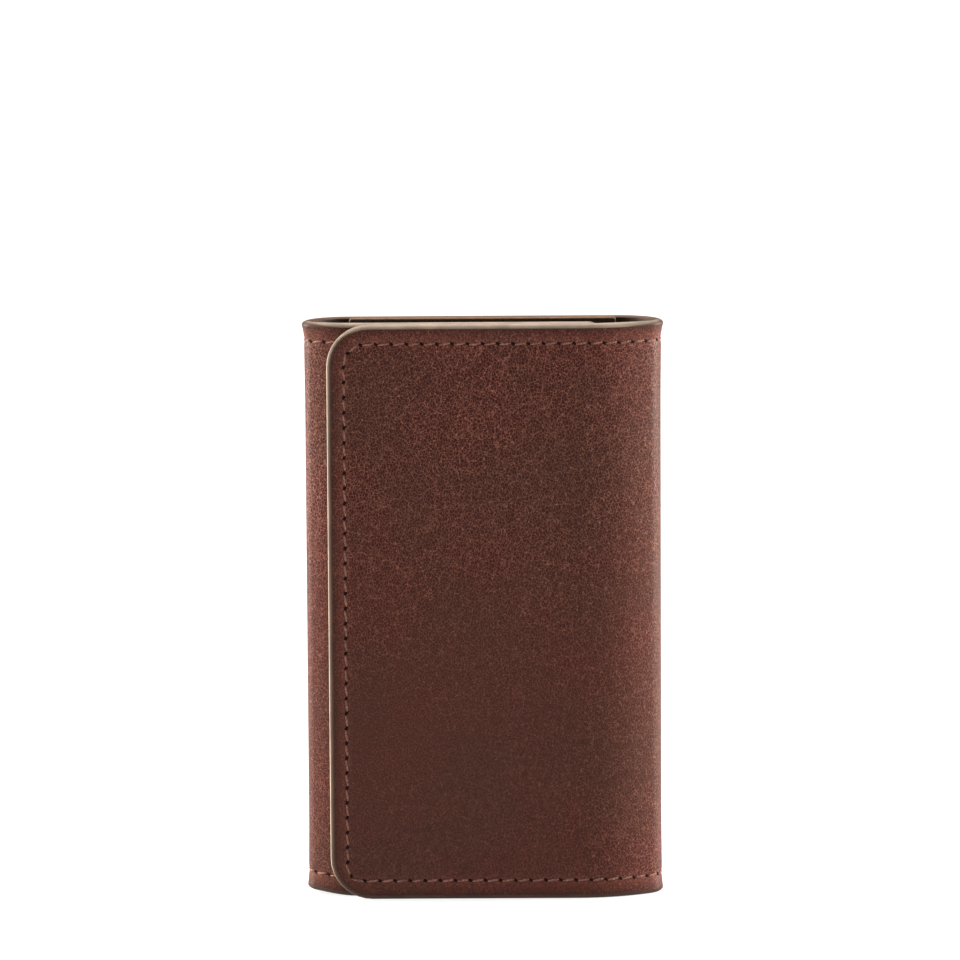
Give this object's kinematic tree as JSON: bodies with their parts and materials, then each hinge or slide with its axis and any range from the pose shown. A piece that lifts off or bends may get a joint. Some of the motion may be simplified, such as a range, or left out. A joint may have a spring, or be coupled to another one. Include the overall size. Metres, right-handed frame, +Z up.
{
  "type": "trifold key case",
  "caption": "Slim upright leather trifold key case with two flaps that fold over each other, round spines, a sewn and painted edge, a hidden press stud and swivel key hooks inside.",
  "frame": {"origin": "on the standing plane, under the middle of the shut case", "axes": "+X to the right as the front is seen, +Y from the front to the back, +Z up"},
  "size_m": [0.065, 0.0164, 0.105],
  "materials": {
    "shell_leather": "fine-grained vegetable-tanned leather, satin",
    "lining_leather": "plain smooth leather, matt",
    "seam_thread": "waxed thread",
    "brass_hardware": "polished",
    "plain_steel": "plain"
  },
  "bodies": {
    "back": {"back_leather": "shell_leather", "back_lining": "lining_leather", "back_thread": "seam_thread", "key_panel": "lining_leather", "key_rail": "brass_hardware", "rail_rivets": "brass_hardware", "rail_washers": "plain_steel"},
    "right_spine": {"right_spine_leather": "shell_leather", "right_spine_lining": "lining_leather", "right_spine_thread": "seam_thread"},
    "outer_flap": {"outer_flap_leather": "shell_leather", "outer_flap_lining": "lining_leather", "outer_flap_thread": "seam_thread", "snap_plate": "plain_steel", "snap_socket": "brass_hardware", "snap_spring": "plain_steel"},
    "left_spine": {"left_spine_leather": "shell_leather", "left_spine_lining": "lining_leather", "left_spine_thread": "seam_thread"},
    "inner_flap": {"inner_flap_leather": "shell_leather", "inner_flap_lining": "lining_leather", "inner_flap_thread": "seam_thread", "snap_stud": "brass_hardware", "snap_post": "brass_hardware"},
    "hook_1_swivel": {"hook_1": "brass_hardware", "hook_1_pin": "plain_steel"},
    "hook_1_latch": {"hook_1_gate": "brass_hardware"},
    "hook_2_swivel": {"hook_2": "brass_hardware", "hook_2_pin": "plain_steel"},
    "hook_2_latch": {"hook_2_gate": "brass_hardware"},
    "hook_3_swivel": {"hook_3": "brass_hardware", "hook_3_pin": "plain_steel"},
    "hook_3_latch": {"hook_3_gate": "brass_hardware"},
    "hook_4_swivel": {"hook_4": "brass_hardware", "hook_4_pin": "plain_steel"},
    "hook_4_latch": {"hook_4_gate": "brass_hardware"},
    "hook_5_swivel": {"hook_5": "brass_hardware", "hook_5_pin": "plain_steel"},
    "hook_5_latch": {"hook_5_gate": "brass_hardware"},
    "hook_6_swivel": {"hook_6": "brass_hardware", "hook_6_pin": "plain_steel"},
    "hook_6_latch": {"hook_6_gate": "brass_hardware"}
  },
  "joints": [
    {"name": "outer_flap_open", "type": "hinge", "parent": "back", "child": "right_spine", "pos_m": [0.02996, 0.00566, 0.0525], "axis": [0, 0, 1], "range_deg": [0, 112.5]},
    {"name": "outer_flap_fold", "type": "hinge", "parent": "right_spine", "child": "outer_flap", "pos_m": [0.03178, -0.00212, 0.0525], "axis": [0, 0, 1], "range_deg": [0, 67.51]},
    {"name": "inner_flap_open", "type": "hinge", "parent": "back", "child": "left_spine", "pos_m": [-0.02996, 0.00566, 0.0525], "axis": [0, 0, -1], "range_deg": [0, 29.26]},
    {"name": "inner_flap_fold", "type": "hinge", "parent": "left_spine", "child": "inner_flap", "pos_m": [-0.03198, -0.00129, 0.0525], "axis": [0, 0, -1], "range_deg": [0, 19.14]},
    {"name": "hook_1_turn", "type": "hinge", "parent": "back", "child": "hook_1_swivel", "pos_m": [-0.0193, 0.0005, 0.088], "axis": [0, 0, 1], "continuous": true},
    {"name": "hook_1_gate_swing", "type": "hinge", "parent": "hook_1_swivel", "child": "hook_1_latch", "pos_m": [-0.01784, 0.0005, 0.08432], "axis": [0, 1, 0], "range_deg": [0, 14], "stiffness_Nm_per_rad": 0.02, "springref_deg": -8.59},
    {"name": "hook_2_turn", "type": "hinge", "parent": "back", "child": "hook_2_swivel", "pos_m": [-0.01158, 0.0005, 0.088], "axis": [0, 0, 1], "continuous": true},
    {"name": "hook_2_gate_swing", "type": "hinge", "parent": "hook_2_swivel", "child": "hook_2_latch", "pos_m": [-0.01012, 0.0005, 0.08432], "axis": [0, 1, 0], "range_deg": [0, 14], "stiffness_Nm_per_rad": 0.02, "springref_deg": -8.59},
    {"name": "hook_3_turn", "type": "hinge", "parent": "back", "child": "hook_3_swivel", "pos_m": [-0.00386, 0.0005, 0.088], "axis": [0, 0, 1], "continuous": true},
    {"name": "hook_3_gate_swing", "type": "hinge", "parent": "hook_3_swivel", "child": "hook_3_latch", "pos_m": [-0.0024, 0.0005, 0.08432], "axis": [0, 1, 0], "range_deg": [0, 14], "stiffness_Nm_per_rad": 0.02, "springref_deg": -8.59},
    {"name": "hook_4_turn", "type": "hinge", "parent": "back", "child": "hook_4_swivel", "pos_m": [0.00386, 0.0005, 0.088], "axis": [0, 0, 1], "continuous": true},
    {"name": "hook_4_gate_swing", "type": "hinge", "parent": "hook_4_swivel", "child": "hook_4_latch", "pos_m": [0.00532, 0.0005, 0.08432], "axis": [0, 1, 0], "range_deg": [0, 14], "stiffness_Nm_per_rad": 0.02, "springref_deg": -8.59},
    {"name": "hook_5_turn", "type": "hinge", "parent": "back", "child": "hook_5_swivel", "pos_m": [0.01158, 0.0005, 0.088], "axis": [0, 0, 1], "continuous": true},
    {"name": "hook_5_gate_swing", "type": "hinge", "parent": "hook_5_swivel", "child": "hook_5_latch", "pos_m": [0.01304, 0.0005, 0.08432], "axis": [0, 1, 0], "range_deg": [0, 14], "stiffness_Nm_per_rad": 0.02, "springref_deg": -8.59},
    {"name": "hook_6_turn", "type": "hinge", "parent": "back", "child": "hook_6_swivel", "pos_m": [0.0193, 0.0005, 0.088], "axis": [0, 0, 1], "continuous": true},
    {"name": "hook_6_gate_swing", "type": "hinge", "parent": "hook_6_swivel", "child": "hook_6_latch", "pos_m": [0.02076, 0.0005, 0.08432], "axis": [0, 1, 0], "range_deg": [0, 14], "stiffness_Nm_per_rad": 0.02, "springref_deg": -8.59}
  ],
  "couplings": [
    {"joint": "outer_flap_fold", "follows": "outer_flap_open", "ratio": 0.6},
    {"joint": "inner_flap_open", "follows": "outer_flap_open", "ratio": 0.26},
    {"joint": "inner_flap_fold", "follows": "outer_flap_open", "ratio": 0.17}
  ]
}
